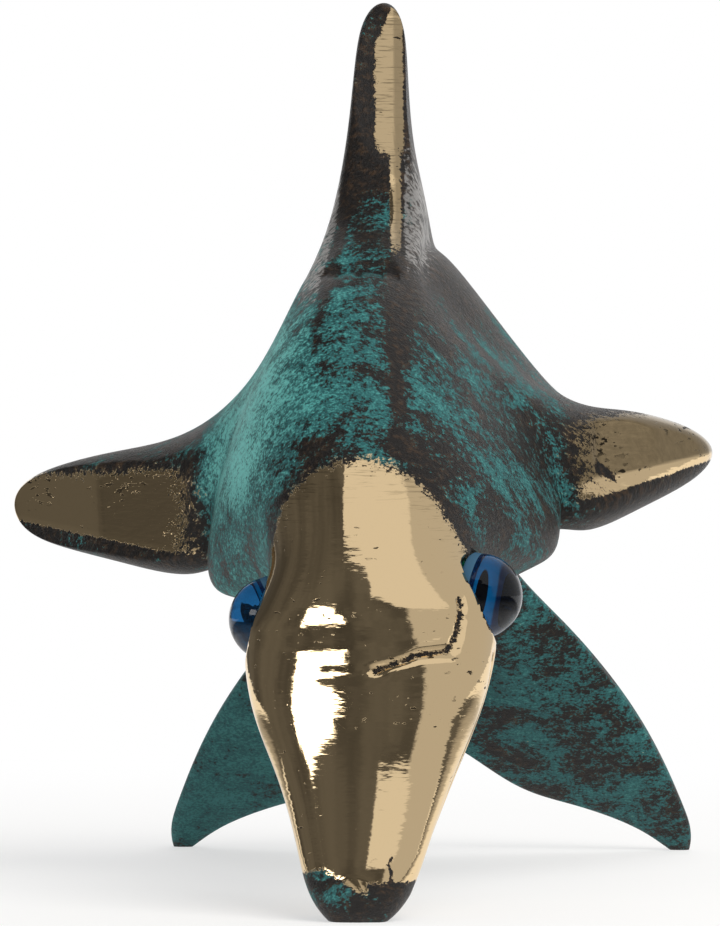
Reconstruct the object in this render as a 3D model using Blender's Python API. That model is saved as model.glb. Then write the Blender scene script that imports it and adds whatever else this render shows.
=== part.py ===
"""Dolphin figurine: an arched dolphin of solid cast bronze with two glass eyes.

The casting stands on three ground points, the tip of the beak and the tips of the two flukes.
The dolphin faces -Y, +Z is up, and the origin is on the floor under the middle of the figure.
The casting is a quad cage under a Subdivision Surface: rings carried along an arched spine, with the
back fin, the two flippers and the two flukes pulled out of patches of those rings.
Lengths are in millimetres until they are scaled to Blender's metres.
"""

import math

import bmesh
import bpy
from mathutils import Matrix, Vector

MM = 0.001

# Driving dimensions of the figure
HEAD_PITCH = 60.0  # degrees that the beak points below level
TAIL_PITCH = 70.0  # degrees that the tail falls below level
HEAD_STRAIGHT = 30.0  # straight stretch of the spine in the head
ARCH_RADIUS = 40.0  # the spine's arch over the back
SPINE_LENGTH = 130.5  # beak tip to the notch between the flukes
BEAK_TIP_Y = -45.5  # the spine's first point
BEAK_TIP_Z = 1.7
LEAN = 6.5  # degrees that the hand-made front half is twisted to its right
LEAN_FROM_Y = -20.0  # the lean fades out between here and the tail
LEAN_TO_Y = 50.0
PIVOT_Z = 44.8  # the lean turns about the spine: its height in the middle of the figure
PIVOT_DROP = 30.0  # and how much lower it is at either end
HALF_LENGTH = 45.0
CENTRE_X = 3.5  # brings the middle of the leaning figure over the origin
CENTRE_Y = -1.3
FOOT_DEPTH = 0.3  # how much of the three ground points is filed flat
SUBDIVISIONS = 2
FIT_ROUNDS = 4  # how often the cage is swollen towards its points
FACET_SHARE = 0.62  # of the smooth casting's facets that are kept

# Glass eyes
EYE_RADIUS = 4.0
EYE_SEAT = 1.4  # how deep the glass sits in its drilled socket
EYE_ARC = 30.5  # where the eye sits along the spine
EYE_SIDE = 9.9  # from the middle plane to the rim of the glass
EYE_ASIDE = 0.8  # how far the pair is set to the left, like the head
EYE_UP = 0.6  # above the spine
EYE_SQUINT = 18.0  # degrees that each eye looks forward of straight sideways
EYE_CHAMFER = 0.3  # at the foot of the glass
GAP = 0.3  # between glass and bronze

# Rings of the casting, from the beak tip to the notch between the flukes: arc length along the
# spine, height over it, depth under it, half width, drop of the widest point, ridge, rake, and how
# far the hand-made ring stands to its left. Ridge thins the upper half towards a tent, and rake
# sweeps the sides tailwards.
RINGS = (
    (-1.7, 1.2, 1.0, 2.2, 0.0, 0.0, 0.0, -0.4),
    (1.0, 3.1, 2.6, 4.3, 0.0, -0.1, 0.0, -0.3),
    (7.4, 4.3, 4.3, 6.4, 0.0, -0.1, 0.0, -0.1),
    (13.8, 5.1, 5.7, 8.3, 0.0, -0.1, 0.0, 0.1),
    (19.0, 5.9, 6.7, 10.4, 0.0, -0.1, 2.0, 0.2),
    (22.8, 6.9, 7.4, 11.6, 0.0, 0.0, 6.0, 0.4),
    (25.6, 8.4, 8.0, 11.4, 0.0, 0.0, 6.0, 0.6),
    (31.5, 10.4, 9.6, 9.8, 0.5, 0.0, 4.5, 0.7),
    (39.0, 12.4, 12.2, 13.0, 4.5, 0.1, 2.0, 0.3),
    (48.0, 14.4, 15.6, 16.9, 8.8, 0.25, 0.0, -0.9),
    (57.0, 16.4, 17.0, 17.2, 7.8, 0.34, 0.0, -0.6),
    (64.0, 17.4, 17.0, 17.0, 7.5, 0.34, 0.0, -0.5),
    (71.0, 17.6, 16.2, 15.6, 6.0, 0.17, 0.0, 0.2),
    (79.0, 16.0, 13.8, 12.6, 3.0, 0.08, 0.0, 0.2),
    (88.0, 11.6, 10.6, 9.2, 1.0, 0.0, 0.0, 0.0),
    (97.0, 7.4, 8.0, 6.6, 0.0, 0.0, 0.0, 0.0),
    (107.0, 4.4, 5.0, 5.4, 0.0, 0.0, 0.0, 0.0),
    (118.0, 2.9, 3.1, 4.6, 0.0, 0.0, 0.0, 0.0),
    (SPINE_LENGTH, 1.1, 1.1, 3.0, 0.0, 0.0, 0.0, 0.0),
)
AROUND = 12  # points of one ring, the first on top and the fourth on the +X side

# Patches that the fins grow from: first and last ring, first and last point round the ring
BACK_FIN_PATCH = (10, 14, -1, 1)
FLIPPER_PATCH = (10, 13, 2, 4)
FLUKE_PATCH = (15, 18, 2, 4)

# Back fin, from its root to its tip: front edge Y, Z, rear edge Y, Z, half thickness, and how far it
# is bent to its right
BACK_FIN = (
    (1.5, 66.8, 26.0, 63.3, 4.8, 0.0),
    (9.5, 77.0, 25.2, 75.0, 2.9, 0.2),
    (21.0, 88.4, 27.0, 88.0, 2.8, 0.9),
)
BACK_FIN_SECTION = ((0.0, 0.9), (0.25, 1.0), (0.5, 0.9), (0.75, 0.65), (1.0, 0.3))
BACK_FIN_TIP = 2.6  # how far the middle of a tip stands past its rim

# Flippers, root to tip: share of the reach, front edge Y, Z, rear edge Y, Z, half thickness
LEFT_FLIPPER = (
    (0.28, -5.5, 39.2, 14.0, 42.4, 6.4),
    (0.56, -2.0, 39.8, 12.5, 41.6, 4.9),
    (0.9, 5.0, 40.6, 13.5, 41.4, 2.9),
)
RIGHT_FLIPPER = (
    (0.28, -5.5, 38.8, 14.0, 42.4, 6.8),
    (0.56, -2.0, 39.4, 12.5, 41.8, 5.2),
    (0.9, 4.0, 40.2, 13.5, 41.2, 3.6),
)
FLIPPER_ROOT = 13.0  # distance from the middle plane
FLIPPERS = {1: (32.0, LEFT_FLIPPER), -1: (41.0, RIGHT_FLIPPER)}  # hand-made, so each has its reach
FLIPPER_SECTION = ((0.0, 0.75), (0.35, 1.0), (0.7, 0.75), (1.0, 0.35))
FLIPPER_TIP = 2.2

# Fluke, root to tip: distance from the middle, front and rear edge along the spine, half thickness
FLUKE = (
    (9.0, 110.0, 134.2, 2.0),
    (15.6, 118.6, 136.9, 1.9),
    (22.8, 128.4, 140.2, 1.7),
    (27.5, 138.2, 144.6, 1.4),
)
FLUKE_SECTION = ((0.0, 0.6), (0.35, 1.0), (0.7, 0.8), (1.0, 0.4))
FLUKE_TIP = 1.2
EDGE_ROUNDING = 0.05  # how far a fin's edges stand past the edges of its two faces, as a share


def heading(arc):
    """Angle of the spine over level, in radians: straight in the head, then one arch to the tail."""
    turned = max(arc - HEAD_STRAIGHT, 0.0) / ARCH_RADIUS
    return max(math.radians(HEAD_PITCH) - turned, -math.radians(TAIL_PITCH))


def spine(arc):
    """Y and Z of the spine at an arc length."""
    pitch = math.radians(HEAD_PITCH)
    straight = min(arc, HEAD_STRAIGHT)
    angle = heading(arc)
    arch_end = HEAD_STRAIGHT + ARCH_RADIUS * math.radians(HEAD_PITCH + TAIL_PITCH)
    past = max(arc - arch_end, 0.0)
    y = BEAK_TIP_Y + straight * math.cos(pitch) + past * math.cos(angle)
    z = BEAK_TIP_Z + straight * math.sin(pitch) + past * math.sin(angle)
    y += ARCH_RADIUS * (math.sin(pitch) - math.sin(angle))
    z += ARCH_RADIUS * (math.cos(angle) - math.cos(pitch))
    return y, z


def off_spine(side, arc, up):
    """The point at a distance to the side of the spine and over it."""
    y, z = spine(arc)
    angle = heading(arc)
    return Vector((side, y - up * math.sin(angle), z + up * math.cos(angle)))


def ring_point(ring, k):
    """Point k of a ring: an ellipse of two unequal halves, with the ring's ridge, rake and sideways set."""
    arc, top, bottom, half_width, drop, ridge, rake, aside = ring
    angle = 2 * math.pi * k / AROUND
    upright = math.cos(angle)
    reach = top + drop if upright > 0 else bottom - drop
    side = aside + half_width * math.sin(angle) * (1 - ridge * max(upright, 0.0))
    return off_spine(side, arc + rake * (1 - max(upright, 0.0)), upright * reach - drop)


def hand_made(point):
    """Twists the front half about the spine and brings the figure over the origin."""
    fade = min(max((point.y - LEAN_FROM_Y) / (LEAN_TO_Y - LEAN_FROM_Y), 0.0), 1.0)
    angle = math.radians(LEAN) * (1 - fade * fade * (3 - 2 * fade))
    pivot = Vector((0, 0, PIVOT_Z - PIVOT_DROP * (point.y / HALF_LENGTH) ** 2))
    turned = pivot + Matrix.Rotation(-angle, 3, "Y") @ (point - pivot)
    return turned + Vector((CENTRE_X, CENTRE_Y, -FOOT_DEPTH))


def body_rings(bm):
    """One list of vertices for each ring."""
    return [[bm.verts.new(ring_point(ring, k)) for k in range(AROUND)] for ring in RINGS]


def patch_columns(patch, mirrored):
    """Ring numbers along a patch and point numbers across it."""
    first, last, low, high = patch
    sign = -1 if mirrored else 1
    return range(first, last + 1), [(sign * k) % AROUND for k in range(low, high + 1)]


def rim(grid):
    """The vertices round the edge of a three-row grid, in order."""
    top, middle, bottom = grid
    return top + [middle[-1]] + bottom[::-1] + [middle[0]]


def pull_fin(bm, grid, sections):
    """Grows a fin from a patch, section by section, closes the last one and returns its vertices."""
    for section in sections:
        closed = section is sections[-1]
        pulled = []
        for r, row in enumerate(section):
            inner = 0 if closed or r != 1 else len(row) - 1
            pulled.append([bm.verts.new(p) if not 0 < c < inner else None for c, p in enumerate(row)])
        below = rim(grid)
        above = rim(pulled)
        for n in range(len(below)):
            m = (n + 1) % len(below)
            bm.faces.new([below[n], above[n], above[m], below[m]])
        grid = pulled
    for upper, lower in zip(grid, grid[1:]):
        for c in range(len(upper) - 1):
            bm.faces.new([upper[c], lower[c], lower[c + 1], upper[c + 1]])
    return {v for row in grid for v in row}


def section_rows(profile, front, rear, thick, tip):
    """Three rows of points for a fin's section: one face, the edge line and the other face."""
    rows = []
    for side in (1, 0, -1):
        row = [front.lerp(rear, share) + thick * (side * fullness) for share, fullness in profile]
        if side == 0:
            row[0] = front.lerp(rear, -EDGE_ROUNDING)
            row[-1] = front.lerp(rear, 1 + EDGE_ROUNDING)
            row[1:-1] = [point + tip for point in row[1:-1]]
        rows.append(row)
    return rows


def back_fin_sections():
    """Rows over the back, thick in X and tapering from a blunt front edge to a thin rear edge."""
    return [
        section_rows(
            BACK_FIN_SECTION,
            Vector((-bend, front_y, front_z)),
            Vector((-bend, rear_y, rear_z)),
            Vector((-half, 0, 0)),
            Vector((0, 0, BACK_FIN_TIP)),
        )
        for front_y, front_z, rear_y, rear_z, half, bend in BACK_FIN
    ]


def flipper_sections(sign):
    """Rows out to one side, thick in Z."""
    reach, table = FLIPPERS[sign]
    sections = []
    for share, front_y, front_z, rear_y, rear_z, half in table:
        out = sign * (FLIPPER_ROOT + share * (reach - FLIPPER_ROOT))
        front = Vector((out, front_y, front_z))
        rear = Vector((out, rear_y, rear_z))
        tip = Vector((sign * FLIPPER_TIP, 0, 0))
        sections.append(section_rows(FLIPPER_SECTION, front, rear, Vector((0, 0, half)), tip))
    return sections


def fluke_sections(sign):
    """Rows out to one side of the tail, in the plane of the spine's last stretch."""
    sections = []
    for out, front_arc, rear_arc, half in FLUKE:
        front = off_spine(sign * out, front_arc, 0)
        rear = off_spine(sign * out, rear_arc, 0)
        thick = off_spine(sign * out, rear_arc, half) - rear
        sections.append(section_rows(FLUKE_SECTION, front, rear, thick, Vector((sign * FLUKE_TIP, 0, 0))))
    return sections


def close_end(bm, ring):
    """Closes an end ring with four quads and two triangles laid across it."""
    for corners in ((0, 1, 5, 6), (1, 2, 4, 5), (2, 3, 4), (0, 6, 7, 11), (11, 7, 8, 10), (10, 8, 9)):
        bm.faces.new([ring[k] for k in corners])


def limit_point(v):
    """Where the smooth surface passes a cage vertex: a weighted mean of it and its neighbours."""
    n = len(v.link_edges)
    near = [e.other_vert(v) for e in v.link_edges]
    across = Vector()
    for face in v.link_faces:
        outer = [w.co for w in face.verts if w is not v and w not in near]
        across += outer[0] if outer else (near[0].co + near[1].co) / 2
    edges = sum((w.co for w in near), Vector())
    return (n * n * v.co + 4 * edges + across) / (n * (n + 5))


def fit_cage(bm, tips, rounds):
    """Swells the cage until the smooth surface runs close to the points given, but for round tips."""
    targets = {v: v.co.copy() for v in bm.verts if v not in tips}
    for _ in range(rounds):
        moves = {v: target - limit_point(v) for v, target in targets.items()}
        for v, move in moves.items():
            v.co += move


def casting_mesh():
    """The cage of the whole casting as one closed mesh."""
    bm = bmesh.new()
    rings = body_rings(bm)
    fins = [
        (BACK_FIN_PATCH, False, back_fin_sections()),
        (FLIPPER_PATCH, False, flipper_sections(1)),
        (FLIPPER_PATCH, True, flipper_sections(-1)),
        (FLUKE_PATCH, False, fluke_sections(1)),
        (FLUKE_PATCH, True, fluke_sections(-1)),
    ]
    open_quads = set()
    for patch, mirrored, _ in fins:
        stations, across = patch_columns(patch, mirrored)
        for k, m in zip(across, across[1:]):
            open_quads |= {(i, frozenset((k, m))) for i in stations[:-1]}
    for i in range(len(rings) - 1):
        for k in range(AROUND):
            m = (k + 1) % AROUND
            if (i, frozenset((k, m))) not in open_quads:
                bm.faces.new([rings[i][k], rings[i][m], rings[i + 1][m], rings[i + 1][k]])
    tips = set()
    for patch, mirrored, sections in fins:
        stations, across = patch_columns(patch, mirrored)
        tips |= pull_fin(bm, [[rings[i][k] for i in stations] for k in across], sections)
    close_end(bm, rings[0])
    close_end(bm, rings[-1])
    bmesh.ops.delete(bm, geom=[v for v in bm.verts if not v.link_faces], context="VERTS")
    bmesh.ops.recalc_face_normals(bm, faces=bm.faces)
    fit_cage(bm, tips, FIT_ROUNDS)
    for v in bm.verts:
        v.co = hand_made(v.co) * MM
    mesh = bpy.data.meshes.new("cast_body")
    bm.to_mesh(mesh)
    bm.free()
    mesh.shade_smooth()
    return mesh


def turned_mesh(name, profile, segments):
    """A closed round piece about +Z from (radius, height) pairs that start and end on the axis."""
    bm = bmesh.new()
    rings = []
    for radius, height in profile:
        turns = segments if radius > 0 else 1
        angles = [2 * math.pi * n / segments for n in range(turns)]
        points = [(radius * math.cos(a) * MM, radius * math.sin(a) * MM, height * MM) for a in angles]
        rings.append([bm.verts.new(point) for point in points])
    for lower, upper in zip(rings, rings[1:]):
        for n in range(segments):
            m = (n + 1) % segments
            corners = [lower[n % len(lower)], lower[m % len(lower)], upper[m % len(upper)], upper[n % len(upper)]]
            bm.faces.new(list(dict.fromkeys(corners)))
    bmesh.ops.recalc_face_normals(bm, faces=bm.faces)
    mesh = bpy.data.meshes.new(name)
    bm.to_mesh(mesh)
    bm.free()
    mesh.shade_smooth()
    mesh.set_sharp_from_angle(angle=math.radians(35))
    return mesh


def eye_frame(sign):
    """Place of an eye: the middle of its rim, with local +Z looking out of the head."""
    side = EYE_ASIDE + sign * EYE_SIDE
    rim_centre = off_spine(side, EYE_ARC, EYE_UP)
    forward = off_spine(side, EYE_ARC - 1, EYE_UP) - rim_centre
    squint = math.radians(EYE_SQUINT)
    outward = Vector((sign, 0, 0)) * math.cos(squint) + forward * math.sin(squint)
    here = hand_made(rim_centre)
    ahead = hand_made(rim_centre + outward)
    frame = (ahead - here).to_track_quat("Z", "Y").to_matrix().to_4x4()
    frame.translation = here * MM
    return frame


def eye_profile():
    """A domed glass with a straight seat under the dome and a small chamfer at its foot."""
    arc = [math.radians(angle) for angle in range(0, 90, 10)]
    dome = [(EYE_RADIUS * math.cos(a), EYE_RADIUS * math.sin(a)) for a in arc] + [(0, EYE_RADIUS)]
    foot = EYE_RADIUS - EYE_CHAMFER
    return [(0, -EYE_SEAT), (foot, -EYE_SEAT), (EYE_RADIUS, EYE_CHAMFER - EYE_SEAT)] + dome


def socket_profile():
    """The drill that bores an eye socket, run out past the dome."""
    radius = EYE_RADIUS + GAP
    return [(0, -EYE_SEAT - GAP), (radius, -EYE_SEAT - GAP), (radius, 2 * EYE_RADIUS), (0, 2 * EYE_RADIUS)]


def material(name, colour, roughness, metallic):
    mat = bpy.data.materials.new(name)
    mat.use_nodes = True
    shader = mat.node_tree.nodes["Principled BSDF"]
    shader.inputs["Base Color"].default_value = (*colour, 1)
    shader.inputs["Roughness"].default_value = roughness
    shader.inputs["Metallic"].default_value = metallic
    return mat


def add_object(name, mesh, mat=None):
    obj = bpy.data.objects.new(name, mesh)
    bpy.context.scene.collection.objects.link(obj)
    if mat:
        mesh.materials.append(mat)
    return obj


def cut(obj, cutter):
    """Takes a hidden cutter out of an object."""
    cutter.hide_render = True
    cutter.display_type = "WIRE"
    boolean = obj.modifiers.new(cutter.name, "BOOLEAN")
    boolean.object = cutter
    boolean.operation = "DIFFERENCE"
    boolean.solver = "EXACT"


def floor_cutter():
    """A slab whose top is the floor, which files the three ground points flat."""
    size = 3 * HALF_LENGTH * MM
    bm = bmesh.new()
    bmesh.ops.create_cube(bm, size=size, matrix=Matrix.Translation((0, 0, -size / 2)))
    mesh = bpy.data.meshes.new("floor_cutter")
    bm.to_mesh(mesh)
    bm.free()
    return add_object("floor_cutter", mesh)


def main():
    for obj in list(bpy.data.objects):
        bpy.data.objects.remove(obj)
    bronze = material("patinated_bronze", (0.16, 0.2, 0.17), 0.45, 0.8)
    blue_glass = material("blue_glass", (0.01, 0.09, 0.28), 0.05, 0.0)
    body = add_object("cast_body", casting_mesh(), bronze)
    smooth = body.modifiers.new("smooth", "SUBSURF")
    smooth.levels = SUBDIVISIONS
    smooth.render_levels = SUBDIVISIONS
    fewer = body.modifiers.new("fewer_facets", "DECIMATE")
    fewer.ratio = FACET_SHARE
    eye = turned_mesh("eye", eye_profile(), 24)
    drill = turned_mesh("socket_drill", socket_profile(), 32)
    for side, sign in (("left", 1), ("right", -1)):
        glass = add_object("eye_" + side, eye.copy(), blue_glass)
        glass.matrix_world = eye_frame(sign)
        socket = add_object("socket_drill_" + side, drill)
        socket.matrix_world = eye_frame(sign)
        cut(body, socket)
    cut(body, floor_cutter())


main()
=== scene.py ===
"""Dolphin figurine in cast bronze with glass eyes, dressed over its CAD frame.

The casting is the same cage as in the CAD source, worked out with numpy: a grid of rings along an
arched spine and a grid of sections for each fin. A Subdivision Surface smooths it, and strokes and
swells worked out on its vertices carve the mouth, the brow and the hand-filed edges.
Lengths in the tables are in millimetres, and the properties are in metres.
"""

import math

import bmesh
import bpy
import numpy as np
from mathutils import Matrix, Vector


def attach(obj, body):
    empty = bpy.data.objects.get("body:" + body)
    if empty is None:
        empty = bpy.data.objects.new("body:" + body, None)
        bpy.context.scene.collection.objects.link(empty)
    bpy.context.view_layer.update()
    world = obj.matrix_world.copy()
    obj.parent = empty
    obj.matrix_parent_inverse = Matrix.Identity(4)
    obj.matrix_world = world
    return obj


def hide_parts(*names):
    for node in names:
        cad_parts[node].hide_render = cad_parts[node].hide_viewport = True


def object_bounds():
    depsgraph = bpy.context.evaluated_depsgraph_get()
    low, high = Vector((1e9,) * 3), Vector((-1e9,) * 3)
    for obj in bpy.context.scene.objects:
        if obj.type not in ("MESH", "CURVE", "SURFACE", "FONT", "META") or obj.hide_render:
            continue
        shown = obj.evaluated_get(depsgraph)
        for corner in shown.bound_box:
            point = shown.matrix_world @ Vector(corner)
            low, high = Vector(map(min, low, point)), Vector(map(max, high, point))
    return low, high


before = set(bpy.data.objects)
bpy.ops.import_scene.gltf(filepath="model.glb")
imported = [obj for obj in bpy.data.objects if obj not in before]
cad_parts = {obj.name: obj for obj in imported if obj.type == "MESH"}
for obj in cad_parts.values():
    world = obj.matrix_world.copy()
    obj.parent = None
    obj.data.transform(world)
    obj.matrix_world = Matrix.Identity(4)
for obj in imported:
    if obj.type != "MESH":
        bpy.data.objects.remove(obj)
CAD_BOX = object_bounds()

bl_info = {
    "name": "Dolphin figurine",
    "version": (1, 0, 0),
    "blender": (4, 5, 0),
    "location": "3D View > Sidebar > Dolphin",
    "description": "Builds the cast dolphin, its glass eyes and the studio around it",
    "category": "Add Mesh",
}

MM = 0.001
BOX = np.array(CAD_BOX) / MM

# Rings of the casting, from the beak tip to the notch between the flukes: arc length along the
# spine, height over it, depth under it, half width, drop of the widest point, ridge, rake, and how
# far the hand-made ring stands to the left.
RINGS = np.array((
    (-1.7, 1.2, 1.0, 2.2, 0.0, 0.0, 0.0, -0.4),
    (1.0, 3.1, 2.6, 4.3, 0.0, -0.1, 0.0, -0.3),
    (7.4, 4.3, 4.3, 6.4, 0.0, -0.1, 0.0, -0.1),
    (13.8, 5.1, 5.7, 8.3, 0.0, -0.1, 0.0, 0.1),
    (19.0, 5.9, 6.7, 10.4, 0.0, -0.1, 2.0, 0.2),
    (22.8, 6.9, 7.4, 11.6, 0.0, 0.0, 6.0, 0.4),
    (25.6, 8.4, 8.0, 11.4, 0.0, 0.0, 6.0, 0.6),
    (31.5, 10.4, 9.6, 9.8, 0.5, 0.0, 4.5, 0.7),
    (39.0, 12.4, 12.2, 13.0, 4.5, 0.1, 2.0, 0.3),
    (48.0, 14.4, 15.6, 16.9, 8.8, 0.25, 0.0, -0.9),
    (57.0, 16.4, 17.0, 17.2, 7.8, 0.34, 0.0, -0.6),
    (64.0, 17.4, 17.0, 17.0, 7.5, 0.34, 0.0, -0.5),
    (71.0, 17.6, 16.2, 15.6, 6.0, 0.17, 0.0, 0.2),
    (79.0, 16.0, 13.8, 12.6, 3.0, 0.08, 0.0, 0.2),
    (88.0, 11.6, 10.6, 9.2, 1.0, 0.0, 0.0, 0.0),
    (97.0, 7.4, 8.0, 6.6, 0.0, 0.0, 0.0, 0.0),
    (107.0, 4.4, 5.0, 5.4, 0.0, 0.0, 0.0, 0.0),
    (118.0, 2.9, 3.1, 4.6, 0.0, 0.0, 0.0, 0.0),
    (130.5, 1.1, 1.1, 3.0, 0.0, 0.0, 0.0, 0.0),
))
AROUND = 12
HEAD_STRAIGHT = 30.0
BEAK_TIP = (-45.5, 1.7)
LEAN_FROM_Y = -20.0
LEAN_TO_Y = 50.0
PIVOT_Z = 44.8
PIVOT_DROP = 30.0
HALF_LENGTH = 45.0
CENTRE = np.array((3.5, -1.3, -0.3))

# Patches that the fins grow from: first and last ring, first and last point round the ring
BACK_FIN_PATCH = (10, 14, -1, 1)
FLIPPER_PATCH = (10, 13, 2, 4)
FLUKE_PATCH = (15, 18, 2, 4)

# Back fin, from its root to its tip: front edge Y, Z, rear edge Y, Z, half thickness, and how far it
# is bent to the right
BACK_FIN = np.array((
    (1.5, 66.8, 26.0, 63.3, 4.8, 0.0),
    (9.5, 77.0, 25.2, 75.0, 2.9, 0.2),
    (21.0, 88.4, 27.0, 88.0, 2.8, 0.9),
))
BACK_FIN_SECTION = np.array(((0.0, 0.9), (0.25, 1.0), (0.5, 0.9), (0.75, 0.65), (1.0, 0.3)))
BACK_FIN_TIP = 2.6

# Flippers, root to tip: share of the reach, front edge Y, Z, rear edge Y, Z, half thickness
LEFT_FLIPPER = np.array((
    (0.28, -5.5, 39.2, 14.0, 42.4, 6.4),
    (0.56, -2.0, 39.8, 12.5, 41.6, 4.9),
    (0.9, 5.0, 40.6, 13.5, 41.4, 2.9),
))
RIGHT_FLIPPER = np.array((
    (0.28, -5.5, 38.8, 14.0, 42.4, 6.8),
    (0.56, -2.0, 39.4, 12.5, 41.8, 5.2),
    (0.9, 4.0, 40.2, 13.5, 41.2, 3.6),
))
FLIPPER_ROOT = 13.0
FLIPPER_SECTION = np.array(((0.0, 0.75), (0.35, 1.0), (0.7, 0.75), (1.0, 0.35)))
FLIPPER_TIP = 2.2

# Fluke, root to tip: distance from the middle, front and rear edge along the spine, half thickness
FLUKE = np.array((
    (9.0, 110.0, 134.2, 2.0),
    (15.6, 118.6, 136.9, 1.9),
    (22.8, 128.4, 140.2, 1.7),
    (27.5, 138.2, 144.6, 1.4),
))
FLUKE_SECTION = np.array(((0.0, 0.6), (0.35, 1.0), (0.7, 0.8), (1.0, 0.4)))
FLUKE_TIP = 1.2
EDGE_ROUNDING = 0.05
FIT_ROUNDS = 4

# Where the glass eyes sit
EYE_ARC = 30.5
EYE_SIDE = 9.9
EYE_ASIDE = 0.8
EYE_UP = 0.6
EYE_SQUINT = 18.0
EYE_SEAT = 1.4
GAP = 0.3
# How they are turned: facets round the axis, the angle of a sharp edge in degrees, steps of the dome,
# how far the glass goes under the rim, and what the parts are set in and chamfered by
EYE_SEGMENTS = 96
EYE_CREASE = 40
DOME_STEPS = 25
LENS_DEPTH = 0.35
LENS_INSET = 0.02
BACKING_INSET = 0.05
BACKING_CHAMFERS = (0.3, 0.1)
# Shares of the eye's radius: how soft the pupil's edge is, and where the dark rim starts and is full;
# the rim is painted shade for the dark seen through the edge of the glass dome
PUPIL_EDGE = 0.02
PAINTED_SHADE_RIM = (0.78, 0.86)

# Strokes carved into the smooth casting, in the finished figure's own place: a path, how wide the
# stroke is, and how deep. A negative depth raises a lip.
BROW_CREASE = (
    (5.4, -41.0, 22.0),
    (7.3, -40.4, 22.9),
    (8.9, -39.9, 23.5),
    (11.2, -39.0, 24.0),
    (11.9, -38.1, 25.4),
    (12.3, -37.7, 27.2),
    (12.4, -37.3, 28.8),
)
BROW_LIP = ((6.6, -40.6, 21.9), (9.2, -40.0, 22.4), (11.6, -39.0, 22.9))
BROW_FOLD = ((1.1, -41.0, 21.6), (3.5, -41.2, 21.7), (5.4, -41.0, 22.0))
STROKES = (
    (BROW_CREASE, 0.38, 0.42),
    (BROW_LIP, 0.6, -0.14),
    (BROW_FOLD, 0.8, 0.1),
)
# Dark places in the metal that are only painted: a casting pit in the left flipper, and a crack near
# the end of the beak
FLIPPER_PIT = ((21.6, -4.0, 40.8), (22.8, -3.6, 40.4), (24.2, -3.0, 39.9))
BEAK_CRACK = ((7.25, -47.4, 6.0), (7.0, -47.7, 5.2), (7.2, -47.9, 4.4), (7.1, -48.0, 3.6))
# Broad swells and hollows of the face: middle, reach in X, Y and Z, and height
SWELLS = (
    ((5.0, -41.5, 25.0), (14.0, 12.0, 8.0), 1.5),
    ((5.0, -41.5, 21.0), (12.0, 9.0, 3.0), 0.05),
    ((4.0, -48.0, 3.0), (8.0, 9.0, 3.5), 0.3),
)
# The mouth line runs along the beak at an angle round it, from the tip to the corner under the eye
MOUTH_ARCS = (2.0, 6.0, 10.0, 14.0, 18.0, 21.5, 24.0)
MOUTH_TURN = (112.0, 106.0, 103.0, 101.0, 99.0, 95.0, 88.0)
MOUTH_WIDTH = 0.45
MOUTH_DEPTH = 0.4

# The flat that is filed along the front edge of the back fin: its middle depth, its slope, how far in
# front of the edge it starts, the heights that it deepens over, and, as depth and heights, how it
# leaves the fin at its root
FACET_DEPTH = 0.9
FACET_SLOPE = 0.5
FACET_START = 0.3
FACET_DEEPENS = (62.0, 75.0)
FACET_LEAVES = ((2.2, 66.0, 80.0), (12.0, 58.0, 69.0))

# The flats filed along the flippers: distance from the middle, the flat's Y there, and the height of
# its lower edge, over which it leans back
LEFT_FLAT = ((17.0, 26.0, 32.0), (-7.4, -1.0, 6.8), 37.4)
RIGHT_FLAT = ((18.0, 20.0, 30.0, 40.0), (-8.4, -6.8, -1.2, 6.6), 36.2)
FLAT_SLOPE = 0.25
FLAT_LEAVES = (16.0, 17.5, 20.5)  # depth, and the distances from the middle that it fades over

# Where the filing reaches: the back fin over this height, and the flippers beyond this distance from
# the middle, behind this Y and between these heights
FIN_FILED_OVER = 60.0
FLIPPER_FILED_OUT = 15.0
FLIPPER_FILED_Y = -18.0
FLIPPER_FILED_Z = (30.0, 55.0)
HEAD_ENDS_Y = -20.0  # strokes and swells lie in front of it

SPINE_SAMPLES = 262
FACET_SHARE = 0.92  # of the smooth casting's triangles that are kept

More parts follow.
